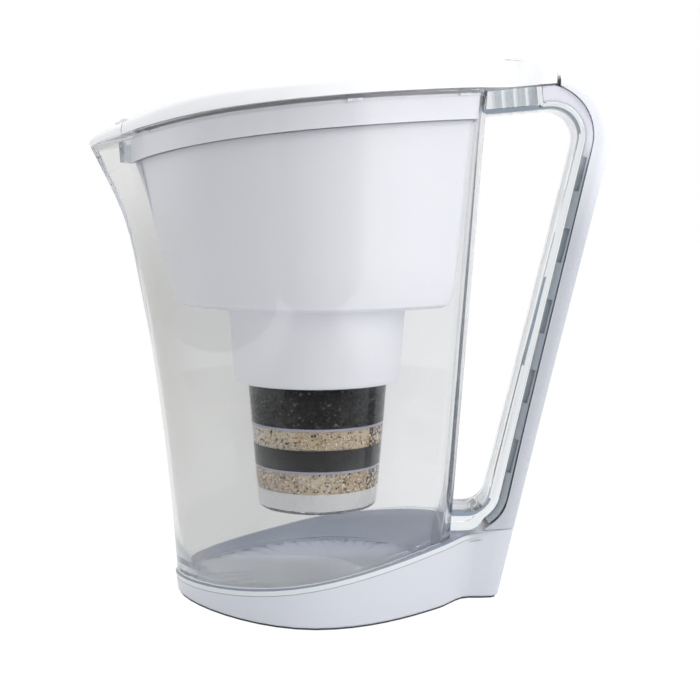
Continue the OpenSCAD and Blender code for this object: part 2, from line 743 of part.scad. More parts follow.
module cartridge_cap() {
    top = neck_z + cap_h;
    out = cup_top_r + cap_side;
    floor_z = neck_z + cap_play;
    color([0.93, 0.93, 0.95])
    union() {
        difference() {
            turned([
                [0, floor_z], [cup_top_r + cap_play, floor_z],
                [cup_top_r + cap_play, flange_z + flange_t + cap_play], [out, flange_z + flange_t + cap_play],
                [out, floor_z + cup_wall], [out - cap_h * 0.5, top], [0, top]
            ]);
            turned([
                [0, floor_z + cup_wall], [out - cup_wall, floor_z + cup_wall],
                [out - cap_h * 0.5 - cup_wall, top - cup_wall], [out - cap_h * 0.5 - cup_wall, top + 1], [0, top + 1]
            ]);
            on_axis()
            for (i = [0:cap_slots - 1])
                rotate([0, 0, i * 360 / cap_slots])
                translate([cup_low_r * 0.35, -slot_w / 2, floor_z - 1])
                cube([cup_low_r * 0.45, slot_w, cup_wall + 2]);
        }
        on_axis()
        translate([-cup_low_r * 0.75, -grip_t / 2, floor_z + cup_wall - 0.5])
        cube([cup_low_r * 1.5, grip_t, cap_h - cup_wall]);
    }
}
module cartridge_seal() {
    color([0.8, 0.82, 0.84])
    turned([
        [cup_top_r + snug, seal_z], [flange_r - seat_gap, seal_z],
        [flange_r - seat_gap, flange_z], [cup_top_r + snug, flange_z]
    ]);
}
pad_z = cup_z + cup_wall;
mineral_low_z = pad_z + pad_h;
disc_low_z = mineral_low_z + mineral_low_h;
fine_z = disc_low_z + disc_t;
mineral_high_z = fine_z + fine_h;
disc_high_z = mineral_high_z + mineral_high_h;
carbon_z = disc_high_z + disc_t;
top_pad_z = neck_z - top_pad_h;
// A layer of the filling between two heights
function filling_r(z) =
    mix(cup_low_r, cup_top_r, min(1, (z - pad_z) / (well_z - pad_z))) - cup_wall - fill_gap;
module layer(z0, z1) {
    turned([
        [0, z0], [filling_r(z0), z0],
        if (z0 < well_z && z1 > well_z) [filling_r(well_z), well_z],
        [filling_r(z1), z1], [0, z1]
    ]);
}
module filter_pad() { color([0.82, 0.82, 0.82]) layer(pad_z, mineral_low_z); }
module media_mineral_lower() { color([0.75, 0.65, 0.5]) layer(mineral_low_z, disc_low_z); }
module separator_lower() { color([0.78, 0.77, 0.82]) layer(disc_low_z, fine_z); }
module media_fine_carbon() { color([0.24, 0.24, 0.24]) layer(fine_z, mineral_high_z); }
module media_mineral_upper() { color([0.75, 0.65, 0.5]) layer(mineral_high_z, disc_high_z); }
module separator_upper() { color([0.78, 0.77, 0.82]) layer(disc_high_z, carbon_z); }
module media_carbon() { color([0.1, 0.1, 0.11]) layer(carbon_z, top_pad_z); }
module top_pad() { color([0.85, 0.85, 0.86]) layer(top_pad_z, neck_z); }

// Lid: the height of its top over any point, and the rings that follow it
lid_middle = [-6, 0];
edge_run = 60;
square_from = -20;
square_run = 80;
crown_from = -60;
crown_run = 120;
lid_ring_flat = tongue_plan(
    tip_x + lid_over, wide_high, rim_half_w + lid_over, 1,
    [rear_wall_x(rim_h) - 4, rear_flat + 14.5], lid_rear, tongue_half
);
// Distance from the lid's middle to an outline, in a direction
function reach(ring, dir) =
    let (n = len(ring))
    max([for (i = [0:n - 1])
        let (
            a = ring[i] - lid_middle,
            e = ring[(i + 1) % n] - ring[i],
            k = cross(dir, e),
            u = k == 0 ? -1 : cross(a, dir) / k
        )
        u >= -eps && u <= 1 + eps ? cross(a, e) / k : 0]);
function dome_z(p) =
    let (
        v = p - lid_middle,
        far = norm(v),
        s = far < eps ? 0 : min(1, far / reach(lid_ring_flat, v / far)),
        n = mix(2, 4.5, ease((p.x - square_from) / square_run)),
        edge = mix(edge_front_h, edge_rear_h, ease((p.x + tip_x) / edge_run)),
        crown = mix(dome_front_h, dome_rear_h, ease((p.x - crown_from) / crown_run))
    )
    rim_z(p.x) + lid_gap + edge + crown * pow(1 - pow(s, n), 1 / n);
notch_x = fill_rear + 3;
function notch(p) =
    notch_depth * max(0, 1 - pow((p.x - notch_x) / (notch_l - 3), 2) - pow(p.y / (notch_w / 2), 2));
function rounded_box(x0, x1, w, r) =
    [for (c = [[x1 - r, w - r, 0], [x0 + r, w - r, 90], [x0 + r, -w + r, 180], [x1 - r, -w + r, 270]])
        for (a = [0:15:90]) [c[0] + r * cos(c[2] + a), c[1] + r * sin(c[2] + a)]];
hinge_depth = knuckle_r + 0.5;
hinge_room = hinge_depth + 1.4;
opening = rounded_box(-fill_hinge - hinge_room, fill_rear + turn_gap, fill_half_w + turn_gap, fill_round);
flap_edge = rounded_box(-fill_hinge, fill_rear, fill_half_w, fill_round);
function rays(ring) = [for (p = ring) unit(p - lid_middle)];
function on_rays(dirs, ring, extra) = [for (d = dirs) lid_middle + d * (reach(ring, d) + extra)];
function blend_rings(a, b, t) = [for (i = [0:len(a) - 1]) mix(a[i], b[i], t)];
function on_dome(ring, below) = [for (p = ring) [p.x, p.y, dome_z(p) - notch(p) - below]];
function under_dome(ring) =
    [for (p = ring) [p.x, p.y, max(dome_z(p) - notch(p) - lid_wall, rim_z(p.x) + lid_gap + 0.6)]];
function flat_of(ring) = [for (p = ring) [p.x, p.y]];
shelf_w = 3;
shelf_t = 1.6;
rib_gap = 2;
rib_t = 1.6;
rib_setback = 4;
function rib_ring(d) =
    flat_of(hopper_ring(rim_level(-lid_rib_drop - 1), band_gap, band_nose - rib_setback, hopper_wall + d));
// Outline of the lid with its tip cut off at the seam of the spout flap, and a recess for the hinge
function seamed(ring, seam, back, half_back) =
    let (
        half_n = (len(ring) + 1) / 2,
        c = len([for (i = [0:half_n - 1]) if (ring[i].x < seam - 0.5) 1]),
        t = (seam - ring[c - 1].x) / (ring[c].x - ring[c - 1].x),
        step = [seam, half_back * (lid_middle.x - seam) / (lid_middle.x - back)]
    )
    closed(concat(
        [for (j = [0:c - 3]) [back, half_back * j / (c - 3)]],
        [step, mix(ring[c - 1], ring[c], t)],
        [for (i = [c:half_n - 1]) ring[i]]
    ));
module lid_shell(outline) {
    dirs = rays(outline);
    open_ring = on_rays(dirs, opening, 0);
    back_ring = on_rays(dirs, opening, shelf_w - 0.4);
    shelf_ring = [for (i = [0:len(dirs) - 1])
        let (p = open_ring[i], near_hinge = p.x < -fill_hinge && abs(p.y) < fill_half_w - fill_round + 2)
        p - dirs[i] * (near_hinge ? 0.3 : p.x < -fill_hinge + 4 ? shelf_w + 4 : shelf_w)];
    shelf_z = lid_wall + seat_gap;
    looped(concat(
        [raise(outline, rim_level(lid_gap))],
        [for (f = [1, 0.975, 0.93, 0.86, 0.76, 0.62, 0.47, 0.34, 0.24, 0.15, 0.07, 0])
            on_dome(blend_rings(open_ring, outline, f), 0)],
        [
            on_dome(open_ring, shelf_z),
            on_dome(shelf_ring, shelf_z),
            on_dome(shelf_ring, shelf_z + shelf_t),
            on_dome(on_rays(dirs, opening, 1), shelf_z + shelf_t),
            on_dome(back_ring, lid_wall)
        ],
        [for (f = [0.2, 0.4, 0.6, 0.8, 1]) under_dome(blend_rings(back_ring, rib_ring(rib_gap + rib_t), f))],
        [
            under_dome(rib_ring(rib_gap)),
            under_dome(inset(outline, lid_wall - 0.4)),
            raise(inset(outline, lid_wall - 0.6), rim_level(lid_gap))
        ]
    ));
}
module lid_rib() {
    color([0.96, 0.96, 0.97])
    looped([
        under_dome(rib_ring(rib_gap + rib_t)),
        raise(rib_ring(rib_gap + rib_t), rim_level(-lid_rib_drop)),
        raise(rib_ring(rib_gap), rim_level(-lid_rib_drop)),
        under_dome(rib_ring(rib_gap))
    ]);
}
fill_axis = [-fill_hinge, 0, dome_z([-fill_hinge, 0]) - hinge_depth];
spout_axis = [-spout_seam, 0, dome_z([-spout_seam, 0]) - hinge_depth];
lug_gap = 0.3;
lug_play = 0.02;
relief_side = 5;
spout_lug_l = 11;
spout_lug_t = 4.2;
fill_lug_l = 10;
fill_lug_t = 3.6;
fill_pin_half = fill_knuckle + lug_gap + lug_w;
spout_pin_half = spout_knuckle + lug_gap + lug_w;
// Cylinder along Y about a hinge axis, between two distances from the middle
module across(at, r, y0, y1) {
    translate([at.x, y1, at.z]) rotate([90, 0, 0]) cylinder(h = y1 - y0, r = r, $fn = 48);
}
module beside(knuckle) {
    for (side = [0, 1]) mirror([0, side, 0]) translate([0, knuckle + lug_gap, 0]) children();
}
module lid_cover() {
    relief = hinge_depth + turn_gap;
    half_relief = spout_knuckle + 2 * lug_gap + lug_w + relief_side;
    color([0.96, 0.96, 0.97])
    difference() {
        union() {
            lid_shell(seamed(lid_ring_flat, spout_axis.x + turn_gap / 2, spout_axis.x + relief, half_relief));
            beside(spout_knuckle) {
                across(spout_axis, knuckle_r, 0, lug_w);
                translate(spout_axis) rotate([0, -20, 0]) translate([0, 0, -knuckle_r * 0.8])
                    cube([spout_lug_l, lug_w, spout_lug_t]);
            }
            beside(fill_knuckle) {
                across(fill_axis, knuckle_r, 0, lug_w);
                translate(fill_axis + [-fill_lug_l, 0, -2.5]) cube([fill_lug_l, lug_w, fill_lug_t]);
            }
        }
        across(spout_axis, pin_r + lug_play, -spout_pin_half - 1, spout_pin_half + 1);
        across(fill_axis, pin_r + lug_play, -fill_pin_half - 1, fill_pin_half + 1);
    }
}
module fill_flap() {
    edge = on_rays(rays(lid_ring_flat), flap_edge, 0);
    middle_ring = [for (p = edge) lid_middle];
    function top(f, below) = [for (p = blend_rings(middle_ring, edge, f)) [p.x, p.y, dome_z(p) - below]];
    color([0.97, 0.97, 0.98])
    difference() {
        union() {
            capped([
                top(0.35, lid_wall), top(0.7, lid_wall), top(1, lid_wall),
                top(1, 0.3), top(0.993, 0), top(0.85, 0), top(0.6, 0), top(0.3, 0)
            ]);
            across(fill_axis, knuckle_r, -fill_knuckle, fill_knuckle);
        }
        across(fill_axis, pin_r + pin_fit, -fill_pin_half, fill_pin_half);
        beside(fill_knuckle)
            translate(fill_axis + [-1, -lug_gap, -knuckle_r])
            cube([knuckle_r + turn_gap + 1.2, lug_w + 2 * lug_gap, 3 * knuckle_r]);
    }
}
module spout_flap() {
    seam = spout_axis.x - turn_gap / 2;
    half_n = (len(lid_ring_flat) + 1) / 2;
    c = len([for (i = [0:half_n - 1]) if (lid_ring_flat[i].x < seam) 1]);
    t = (seam - lid_ring_flat[c - 1].x) / (lid_ring_flat[c].x - lid_ring_flat[c - 1].x);
    side = mix(lid_ring_flat[c - 1], lid_ring_flat[c], t);
    half = concat(
        [for (i = [0:c - 1]) each [lid_ring_flat[i], mix(lid_ring_flat[i], i < c - 1 ? lid_ring_flat[i + 1] : side, 0.5)]],
        [for (j = [0:4]) [seam, side.y * (1 - j / 4)]]
    );
    edge = concat(half, [for (i = [len(half) - 2:-1:1]) [half[i].x, -half[i].y]]);
    centre = [(seam - tip_x) / 2, 0];
    inner = [for (p = edge) mix(centre, p, 0.84)];
    function top(f, below) = [for (p = edge) let (q = mix(centre, p, f)) [q.x, q.y, dome_z(q) - below]];
    function low(f) = [for (p = inner) let (q = mix(centre, p, f))
        [q.x, q.y, max(dome_z(q) - lid_wall, rim_z(q.x) + lid_gap + 0.6)]];
    room = spout_knuckle + 2 * lug_gap + lug_w;
    color([0.96, 0.96, 0.97])
    difference() {
        union() {
            difference() {
                capped([
                    low(0.35), low(0.7), low(1), raise(inner, rim_level(lid_gap)), raise(edge, rim_level(lid_gap)),
                    top(1, 0), top(0.9, 0), top(0.7, 0), top(0.4, 0)
                ]);
                across(spout_axis, knuckle_r + turn_gap, -room, room);
            }
            across(spout_axis, knuckle_r, -spout_knuckle, spout_knuckle);
            translate(spout_axis + [-knuckle_r - 2, -spout_knuckle, -knuckle_r / 2])
                cube([knuckle_r, 2 * spout_knuckle, knuckle_r]);
        }
        across(spout_axis, pin_r + pin_fit, -spout_pin_half, spout_pin_half);
    }
}
module fill_flap_pin() {
    color([0.8, 0.81, 0.83]) across(fill_axis, pin_r, -fill_pin_half, fill_pin_half);
}
module spout_flap_pin() {
    color([0.8, 0.81, 0.83]) across(spout_axis, pin_r, -spout_pin_half, spout_pin_half);
}

jug_body();
spout_guard();
handle_frame();
handle_spine();
handle_cover();
base_shell();
base_plate();
non_slip_ring();
hopper();
hopper_rim();
filter_well();
cartridge_cup();
cartridge_cap();
cartridge_seal();
top_pad();
media_carbon();
separator_upper();
media_mineral_upper();
media_fine_carbon();
separator_lower();
media_mineral_lower();
filter_pad();
lid_cover();
lid_rib();
fill_flap();
fill_flap_pin();
spout_flap();
spout_flap_pin();
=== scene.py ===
"""A water filter pitcher with a flip lid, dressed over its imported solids."""

import math
import random

import bmesh
import bpy
import numpy as np
from mathutils import Matrix, Vector

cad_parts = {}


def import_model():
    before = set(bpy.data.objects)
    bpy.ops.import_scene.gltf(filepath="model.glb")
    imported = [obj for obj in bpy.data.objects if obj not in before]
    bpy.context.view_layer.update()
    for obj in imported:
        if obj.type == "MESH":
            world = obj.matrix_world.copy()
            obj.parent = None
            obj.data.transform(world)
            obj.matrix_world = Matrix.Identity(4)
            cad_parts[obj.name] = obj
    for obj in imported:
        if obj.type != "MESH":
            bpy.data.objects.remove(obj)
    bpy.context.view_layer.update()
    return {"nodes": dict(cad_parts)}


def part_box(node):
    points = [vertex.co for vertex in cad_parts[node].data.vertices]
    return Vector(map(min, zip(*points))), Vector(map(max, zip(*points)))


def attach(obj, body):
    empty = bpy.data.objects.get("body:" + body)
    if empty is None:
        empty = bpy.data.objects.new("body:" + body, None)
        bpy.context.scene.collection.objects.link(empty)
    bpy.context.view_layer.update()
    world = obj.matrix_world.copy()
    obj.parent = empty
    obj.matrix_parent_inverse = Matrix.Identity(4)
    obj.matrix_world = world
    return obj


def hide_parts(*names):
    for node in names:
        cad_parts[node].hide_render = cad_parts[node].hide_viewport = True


MM = 0.001

# An edge is read at one point per station, and the points nearest to a first fit are kept
EDGE_STATION = 0.008
EDGE_DEGREE = 4
EDGE_SHARE_KEPT = 0.8

# The jug's rim rises towards the handle, and dips in the spout as a parabola
RIM_HEIGHT = 0.2442
RIM_SLOPE = 0.095
SPOUT_START = -0.05
SPOUT_DIP = 94 * 0.0128

# Smooth copies: what is merged, what counts as flat and what stays a sharp edge
MERGE_GAP = 0.00002
SLIVER = 0.00001
FLAT_ANGLE = math.radians(30)
SQUARE_ANGLE = math.radians(60)
SHARP_ANGLE = math.radians(32)

# Loose grains: the share of the wall they cover, and how much deeper than one layer they lie
GRAIN_COVER = 0.85
GRAIN_LAYERS = 1.7
GRAIN_SPIN = 6.28
LEVEL_SLACK = 1e-5

CAMERA_PLACE = (0, -0.65, 0.1948)
CAMERA_DOWN = 6.28
CAMERA_LENS = 66.857
FLOOR_HALF = 6
FLOOR_GLOW = 1.04
WHITE = (1, 1, 1, 1)

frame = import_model()
nodes = frame["nodes"]


def edge_curve(node, side, low_x, high_x):
    """The height of a solid's near upper (1) or lower (-1) edge over x, as a polynomial."""
    rows = {}
    for vertex in nodes[node].data.vertices:
        x, y, z = vertex.co
        if y < 0 and low_x < x < high_x:
            station = round(x / EDGE_STATION)
            if station not in rows or side * z > side * rows[station][1]:
                rows[station] = (x, z)
    xs, zs = np.array(list(rows.values())).T
    off = np.abs(zs - np.polyval(np.polyfit(xs, zs, EDGE_DEGREE), xs))
    # Stations that hit a lug instead of the edge stand out of the first fit
    near = np.argsort(off)[: int(len(off) * EDGE_SHARE_KEPT)]
    return [float(c) for c in np.polyfit(xs[near], zs[near], EDGE_DEGREE)]


class Value:
    """A shader socket or a plain number that takes part in Python arithmetic."""

    def __init__(self, finish, socket):
        self.finish, self.socket = finish, socket

    def _math(self, operation, other, swapped=False):
        terms = [other, self] if swapped else [self, other]
        return self.finish.node("ShaderNodeMath", {"operation": operation}, dict(enumerate(terms)))

    def __add__(self, other):
        return self._math("ADD", other)

    __radd__ = __add__

    def __mul__(self, other):
        return self._math("MULTIPLY", other)

    __rmul__ = __mul__

    def __sub__(self, other):
        return self._math("SUBTRACT", other)

    def __rsub__(self, other):
        return self._math("SUBTRACT", other, swapped=True)

    def __pow__(self, other):
        return self._math("POWER", other)

    def most(self, other):
        return self._math("MAXIMUM", other)

    def fade(self, low, high):
        """0 below low, 1 above high and smooth between them."""
        return self.finish.node(
            "ShaderNodeMapRange",
            {"interpolation_type": "SMOOTHSTEP"},
            {"Value": self, "From Min": low, "From Max": high},
        )


class Finish:
    """One procedural material, built from the piece's own coordinates."""

    def __init__(self, name):
        self.material = bpy.data.materials.new(name)
        self.material.use_nodes = True
        self.tree = self.material.node_tree
        self.tree.nodes.clear()
        self.place = self.node("ShaderNodeTexCoord", output="Object")
        split = self.node("ShaderNodeSeparateXYZ", {}, {0: self.place}, output=None)
        self.x, self.y, self.z = (Value(self, s) for s in split.outputs)

    def node(self, kind, settings=None, inputs=None, output=0):
        """Adds a node of a kind, with its settings set first; returns one output, or the node."""
        made = self.tree.nodes.new(kind)
        for key, value in (settings or {}).items():
            if key == "stops":
                ramp = made.color_ramp.elements
                while len(ramp) < len(value):
                    ramp.new(0.5)
                for stop, (at, colour) in zip(ramp, value):
                    stop.position, stop.color = at, (*colour, 1)
            else:
                setattr(made, key, value)
        for key, value in (inputs or {}).items():
            self.feed(made.inputs[key], value)
        return made if output is None else Value(self, made.outputs[output])

    def feed(self, socket, value):
        """Links a shader value to a socket, or sets a plain one on it."""
        if isinstance(value, Value):
            self.tree.links.new(value.socket, socket)
        else:
            socket.default_value = value

    def above(self, curve):
        """Metres above a curve that is given as a polynomial of x."""
        height = curve[0]
        for term in curve[1:]:
            height = self.x * height + term
        return self.z - height

    def colour(self, factor, first, second):
        """One colour at a factor of 0 and another at 1."""
        made = self.node("ShaderNodeMix", {"data_type": "RGBA"}, {0: factor}, output=None)
        for key, value in ((6, first), (7, second)):
            self.feed(made.inputs[key], value if isinstance(value, Value) else (*value, 1))
        return Value(self, made.outputs[2])

    def noise(self, per_metre, detail=3.0, roughness=0.5, stretch=None):
        place = self.place
        if stretch:
            place = self.node("ShaderNodeMapping", {}, {"Vector": place, "Scale": stretch})
        return self.node(
            "ShaderNodeTexNoise",
            {},
            {"Vector": place, "Scale": per_metre, "Detail": detail, "Roughness": roughness},
        )

    def cells(self, per_metre):
        return self.node(
            "ShaderNodeTexVoronoi", {"feature": "F1"}, {"Vector": self.place, "Scale": per_metre}
        )

    def attribute(self, name):
        """A number that the piece's faces carry."""
        return self.node("ShaderNodeAttribute", {"attribute_name": name}, output="Fac")

    def bump(self, height, distance):
        return self.node(
            "ShaderNodeBump", {}, {"Height": height, "Distance": distance, "Strength": 1.0}
        )

    def glow(self, strength):
        return self.node("ShaderNodeEmission", {}, {"Color": WHITE, "Strength": strength})

    def let_through(self, tint):
        return self.node("ShaderNodeBsdfTransparent", {}, {0: (*tint, 1)})

    def rays(self, *kinds):
        """What the light path says of each kind of ray."""
        path = self.node("ShaderNodeLightPath", output=None)
        return [Value(self, path.outputs[kind]) for kind in kinds]

    def shader(self, **inputs):
        named = {key.replace("_", " "): value for key, value in inputs.items()}
        if not isinstance(named["Base Color"], Value):
            named["Base Color"] = (*named["Base Color"], 1)
        return self.node("ShaderNodeBsdfPrincipled", {}, named)

    def mixed(self, factor, first, second):
        return self.node("ShaderNodeMixShader", {}, {0: factor, 1: first, 2: second})

    def done(self, surface):
        out = self.tree.nodes.new("ShaderNodeOutputMaterial")
        self.tree.links.new(surface.socket, out.inputs["Surface"])
        return self.material


def jug_painted_light(f, base):
    """The jug's greys, painted light and shade: lighter towards the handle on the side the light falls
    on, lighter high up at the spout, a painted shadow band round the rim under the lid's edge and
    painted shade low in the spout.
    """
    # Painted light: lighter towards the handle, on the side the light falls on
    base = f.colour(f.x.fade(-0.05, 0.045), base, (0.88, 0.885, 0.89))
    under_lid = f.z.fade(0.17, 0.225) * (1 - f.x.fade(-0.09, -0.06))
    base = f.colour(under_lid, base, (0.88, 0.88, 0.875))
    # Painted shade low in the spout
    spout_painted_shade = (1 - f.x.fade(-0.105, -0.07)) * (1 - f.z.fade(0.14, 0.2))
    base = f.colour(spout_painted_shade, base, (0.66, 0.66, 0.645))
    dip = SPOUT_DIP * (SPOUT_START - f.x).most(0.0) ** 2
    edge = f.z - (RIM_HEIGHT + RIM_SLOPE * f.x) + dip
    # A painted shadow band round the rim, under the lid's edge
    rim_painted_shadow = edge.fade(-0.0042, -0.0030) * (0.32 - f.x.fade(-0.06, 0.04) * 0.3)
    return f.colour(rim_painted_shadow, base, (0.4, 0.4, 0.42))


def clear_plastic(name, tint, roughness=0.03, rim=False, deepest=5.5, filled=False, grip=None):
    """Moulded clear plastic: faint flow waves, fine handling marks, light reaches what is inside."""
    f = Finish(name)
    waves = f.noise(9, 1.5, stretch=(1, 1, 0.35))
    marks = f.noise(240, 4, 0.6, stretch=(1, 1, 0.2)).fade(0.62, 0.8)
    base = f.colour(waves.fade(0.35, 0.7), tint, tuple(c * 0.97 for c in tint))
    # The jug's painted light and shade near the rim and spout
    if rim:
        base = jug_painted_light(f, base)
    if grip:
        # A painted dark line along the grip's inner edge on its near side, standing for the dark edge
        # the clear loop shows there
        near = 1 - f.y.fade(grip + 0.004, grip + 0.006)
        base = f.colour(f.attribute("inner") * near, base, (0.1, 0.14, 0.19))
    plastic = f.shader(
        Base_Color=base,
        Roughness=roughness + 0.05 * marks,
        IOR=1.5,
        Transmission_Weight=1.0,
        Normal=f.bump(waves, 0.0004),
    )
    shadow, passing, depth = f.rays("Is Shadow Ray", "Is Diffuse Ray", "Ray Depth")
    if filled:
        # The filling lies tight against the inner faces, so they bend no light
        passing = passing.most(f.attribute("inner"))
    # A ray that stays in the wall of an edge is let out, or the edge turns black
    trapped = depth.fade(deepest, deepest + 1)
    walled = f.mixed(trapped, plastic, f.let_through((0.7, 0.72, 0.75)))
    return f.done(f.mixed(shadow.most(passing), walled, f.let_through((0.97, 0.97, 0.975))))


def moulded(
    name, colour, roughness=0.32, grain=0.00002, shade=0.04, milky=0.0, coat=0.0, painted_zone=None, lines=()
):
    """Moulded opaque plastic: skin grain, faint cloudiness and fingertip dullness.

    A zone is a mask and its colour, painted light or shade in each use here. A line is a band of
    painted shade, or in one case painted light, that lies between two heights over a curve of x, with
    soft borders, on the near side and short of the handle.
    """
    f = Finish(name)
    cloud = f.noise(14, 3)
    skin = f.noise(1500, 2)
    dull = f.noise(38, 4, 0.6).fade(0.45, 0.75)
    cloudy = cloud.fade(0.3, 0.7) * shade * 10
    base = f.colour(cloudy, colour, tuple(c * (1 - shade) for c in colour))
    # Painted light or shade over a zone's mask
    if painted_zone:
        where, other = painted_zone
        base = f.colour(where(f), base, other)
    # Painted shade lines along the solids' edges, on the near side only
    for curve, low, high, soft, other in lines:
        depth = f.above(curve)
        here = depth.fade(low - soft, low) * (1 - depth.fade(high, high + soft))
        here = here * (1 - f.y.fade(-0.004, 0.0)) * (1 - f.x.fade(0.058, 0.066))
        base = f.colour(here, base, other)
    extra = {}
    if milky:
        extra = {
            "Subsurface_Weight": milky,
            "Subsurface_Radius": (0.006, 0.006, 0.007),
            "Subsurface_Scale": 1.0,
        }
    return f.done(f.shader(
        Base_Color=base,
        Roughness=roughness + 0.08 * dull + 0.04 * skin,
        Normal=f.bump(skin + cloud * 3, grain),
        Coat_Weight=coat,
        Coat_Roughness=0.08,
        **extra,
    ))


def fibre(name, colour, per_metre=900):
    """Pressed fibre felt."""
    f = Finish(name)
    mat = f.noise(per_metre, 5, 0.7)
    threads = f.noise(per_metre * 0.6, 3, 0.6, stretch=(1, 1, 5))
    base = f.colour(mat.fade(0.3, 0.75), tuple(c * 0.8 for c in colour), colour)
    return f.done(f.shader(Base_Color=base, Roughness=0.9, Normal=f.bump(mat + threads, 0.0001)))


def grit(name, stops, roughness, sparkle=0.0, dust=0.15):
    """Loose grains that take their tone from the piece's attribute."""
    f = Finish(name)
    tone = f.attribute("tone")
    hue = f.node("ShaderNodeValToRGB", {"stops": stops}, {"Fac": tone})
    rough = f.noise(2600, 3, 0.65)
    base = f.colour(rough.fade(0.35, 0.8) * dust, hue, (0.55, 0.52, 0.48))
    if sparkle:
        # The lightest grains are the glossiest
        roughness = roughness - 0.55 * tone.fade(1 - sparkle, 1.0)
    return f.done(f.shader(Base_Color=base, Roughness=roughness, Normal=f.bump(rough, 0.00012)))


def fine_black(name):
    """Packed fine carbon: a smooth dark band with a dusty grain."""
    f = Finish(name)
    grain = f.cells(1700)
    dust = f.noise(700, 4, 0.7)
    base = f.colour(dust.fade(0.4, 0.8) * 0.35, (0.018, 0.018, 0.018), (0.075, 0.076, 0.075))
    return f.done(f.shader(Base_Color=base, Roughness=0.75, Normal=f.bump(grain + dust, 0.00018)))


def soft_rubber(name, colour):
    """Matt rubber with a fine skin."""
    f = Finish(name)
    skin = f.noise(1100, 3)
    base = f.colour(f.noise(30, 3).fade(0.3, 0.8), colour, tuple(c * 1.3 for c in colour))
    return f.done(f.shader(Base_Color=base, Roughness=0.62 + 0.1 * skin, Normal=f.bump(skin, 0.00005)))


def drawn_steel(name):
    """Steel wire with fine lines along y."""
    f = Finish(name)
    lines = f.noise(900, 2, 0.5, stretch=(1, 0.02, 1))
    return f.done(f.shader(
        Base_Color=(0.62, 0.62, 0.64),
        Metallic=1.0,
        Roughness=0.22 + 0.15 * lines,
        Normal=f.bump(lines, 0.00002),
    ))


lid_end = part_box("lid_cover")[1].x
tongue_half = max(
    abs(v.co.y) for v in nodes["lid_cover"].data.vertices if v.co.x > lid_end - 2 * MM
)


def tongue_end_painted_shade(f):
    """The near edge of the tongue's end face, where its shadowed end is painted dark."""
    return f.x.fade(lid_end - 0.0014, lid_end - 0.0007) * (
        1 - f.y.fade(-tongue_half, 0.0015 - tongue_half)
    )


TANK_WHITE = (0.9, 0.9, 0.95)
jug_clear = clear_plastic("jug_clear", (0.765, 0.77, 0.765), rim=True, deepest=3.5)
frame_clear = clear_plastic("handle_clear", (0.84, 0.87, 0.89), grip=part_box("handle_frame")[0].y)
guard_clear = clear_plastic("guard_clear", (0.5, 0.56, 0.62))
cup_clear = clear_plastic("cup_clear", (0.94, 0.94, 0.93), 0.05, filled=True)
lid_white = moulded(
    "lid_white", (0.88, 0.88, 0.89), 0.26, shade=0.02, coat=0.3,
    # Painted shade on the near edge of the tongue's end
    painted_zone=(tongue_end_painted_shade, (0.25, 0.22, 0.22)),
)
band_foot = edge_curve("hopper_rim", -1, -0.1, 0.05)
band_white = moulded(
    "band_white", TANK_WHITE, 0.38, grain=0.000006, shade=0.03, milky=0.2,
    # A painted shadow line along the band's lower edge, on its near side
    lines=((band_foot, -0.001, 0.00025, 0.0002, (0.16, 0.16, 0.18)),),
)
hopper_white = moulded(
    "hopper_white", TANK_WHITE, 0.38, grain=0.000006, shade=0.03, milky=0.2
)
cap_white = moulded("cap_white", (0.8, 0.8, 0.82), 0.4)
shoe_edge = edge_curve("base_shell", 1, -0.11, 0.062)
base_grey = moulded(
    "base_blue_grey", (0.6, 0.615, 0.665), 0.3, shade=0.03, coat=0.2,
    # Painted light: lighter and bluer from 12 mm behind the middle plane, where the base lies in shade
    # behind the jug
    painted_zone=(lambda f: f.y.fade(0.012, 0.03), (0.74, 0.8, 0.91)),
    # Painted light and shade along the base's upper edge: a lighter band with a dark line under it and
    # a dark line at the edge
    lines=(
        (shoe_edge, -0.003, 0.002, 0.0003, (0.66, 0.68, 0.7)),
        (shoe_edge, -0.0032, -0.003, 0.0002, (0.28, 0.3, 0.35)),
        (shoe_edge, -0.0005, 0.002, 0.0003, (0.2, 0.23, 0.3)),
    ),
)
# Painted light and shade: the white cover is darker low down and lighter towards the top
cover_white = moulded(
    "cover_blue_white", (0.5, 0.515, 0.56), 0.24, shade=0.03, coat=0.3,
    painted_zone=(lambda f: f.z.fade(0.17, 0.235), (0.82, 0.83, 0.87)),
)
# Its dark grey is painted shade for the gap between the clear loop and the cover; the lighter lilac top
# is a painted highlight at the bend
spine_grey = moulded(
    "spine_grey", (0.28, 0.315, 0.35), 0.26, shade=0.06, coat=0.5,
    painted_zone=(lambda f: f.z.fade(0.208, 0.228), (0.78, 0.77, 0.84)),
)
# Near-black rubber ring, which also serves as the dark contact shadow line under the base
ring_dark = soft_rubber("ring_dark", (0.03, 0.032, 0.035))
seal_grey = soft_rubber("seal_grey", (0.42, 0.43, 0.44))
pad_felt = fibre("pad_felt", (0.96, 0.95, 0.93))
disc_felt = fibre("disc_felt", (0.56, 0.54, 0.64), 1200)
pin_steel = drawn_steel("pin_steel")
fine_band = fine_black("fine_band")
BLACKS = (
    (0.0, (0.004, 0.004, 0.004)),
    (0.7, (0.014, 0.014, 0.015)),
    (0.9, (0.05, 0.05, 0.052)),
    (1.0, (0.2, 0.2, 0.205)),
)
TANS = (
    (0.0, (0.95, 0.85, 0.65)),
    (0.12, (0.75, 0.6, 0.38)),
    (0.25, (0.98, 0.92, 0.78)),
    (0.4, (0.55, 0.38, 0.2)),
    (0.5, (0.93, 0.82, 0.6)),
    (0.62, (0.98, 0.95, 0.88)),
    (0.72, (0.42, 0.25, 0.13)),
    (0.82, (0.85, 0.68, 0.45)),
    (0.9, (0.3, 0.2, 0.12)),
    (0.96, (0.08, 0.05, 0.03)),
)
